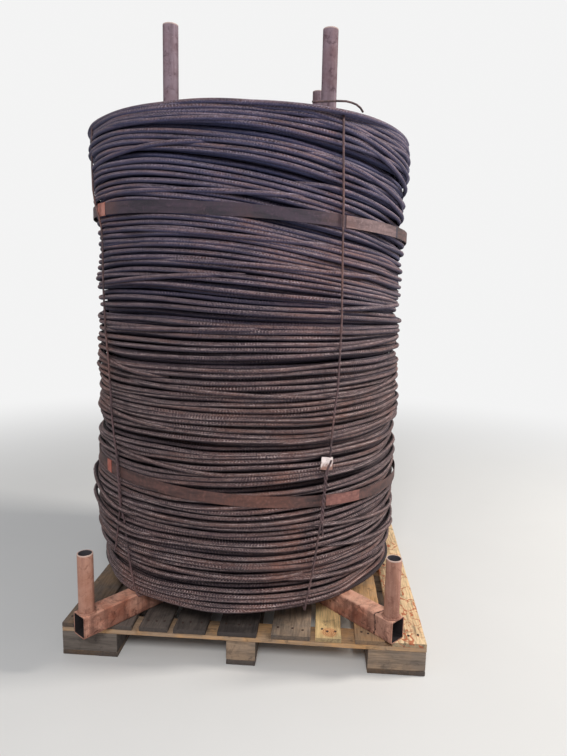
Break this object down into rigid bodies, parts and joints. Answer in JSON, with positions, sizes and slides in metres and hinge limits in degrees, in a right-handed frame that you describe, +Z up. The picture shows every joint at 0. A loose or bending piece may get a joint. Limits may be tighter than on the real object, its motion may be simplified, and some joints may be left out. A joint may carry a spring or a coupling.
{
  "type": "coil of rebar",
  "caption": "Tall bound coil of ribbed reinforcing bar standing on end on a cross-beam steel rack with guide posts, on a timber block pallet.",
  "frame": {"origin": "on the floor, under the middle of the pallet", "axes": "+X to the right along the pallet's front edge, +Y from the front edge to the back, +Z up along the coil's axis"},
  "size_m": [1.2591, 1.281, 2.0862],
  "materials": {
    "rebar": "rusted hot-rolled bar",
    "rack_primer": "red oxide primer, worn and rusted",
    "band_steel": "rusted steel band",
    "seal_paint": "worn orange-red paint",
    "tie_rod": "rusted drawn rod",
    "tag": "faded and dusty",
    "pallet_wood": "weathered sawn timber"
  },
  "bodies": {
    "root": {"deck_board_1": "pallet_wood", "deck_board_2": "pallet_wood", "deck_board_3": "pallet_wood", "deck_board_4": "pallet_wood", "deck_board_5": "pallet_wood", "deck_board_6": "pallet_wood", "deck_board_7": "pallet_wood", "deck_board_8": "pallet_wood", "deck_board_9": "pallet_wood", "stringer_board_1": "pallet_wood", "stringer_board_2": "pallet_wood", "stringer_board_3": "pallet_wood", "block_1_1": "pallet_wood", "block_1_2": "pallet_wood", "block_1_3": "pallet_wood", "block_2_1": "pallet_wood", "block_2_2": "pallet_wood", "block_2_3": "pallet_wood", "block_3_1": "pallet_wood", "block_3_2": "pallet_wood", "block_3_3": "pallet_wood", "bottom_board_1": "pallet_wood", "bottom_board_2": "pallet_wood", "bottom_board_3": "pallet_wood", "rack_beam": "rack_primer", "rack_arm_front_right": "rack_primer", "rack_arm_back_left": "rack_primer", "rack_post_front_left": "rack_primer", "rack_post_front_right": "rack_primer", "rack_post_back_left": "rack_primer", "rack_post_back_right": "rack_primer", "rack_stub_front_left": "rack_primer", "rack_stub_front_right": "rack_primer", "rack_stub_back_left": "rack_primer", "rack_stub_back_right": "rack_primer", "rebar_coil": "rebar", "band_upper": "band_steel", "band_lower": "band_steel", "seal_upper": "seal_paint", "seal_lower": "seal_paint", "tie_rod_front_right": "tie_rod", "tie_rod_front_left": "tie_rod", "tie_rod_back_right": "tie_rod", "tie_rod_back_left": "tie_rod", "loose_rod": "tie_rod", "tie_tag": "tag"}
  },
  "joints": []
}
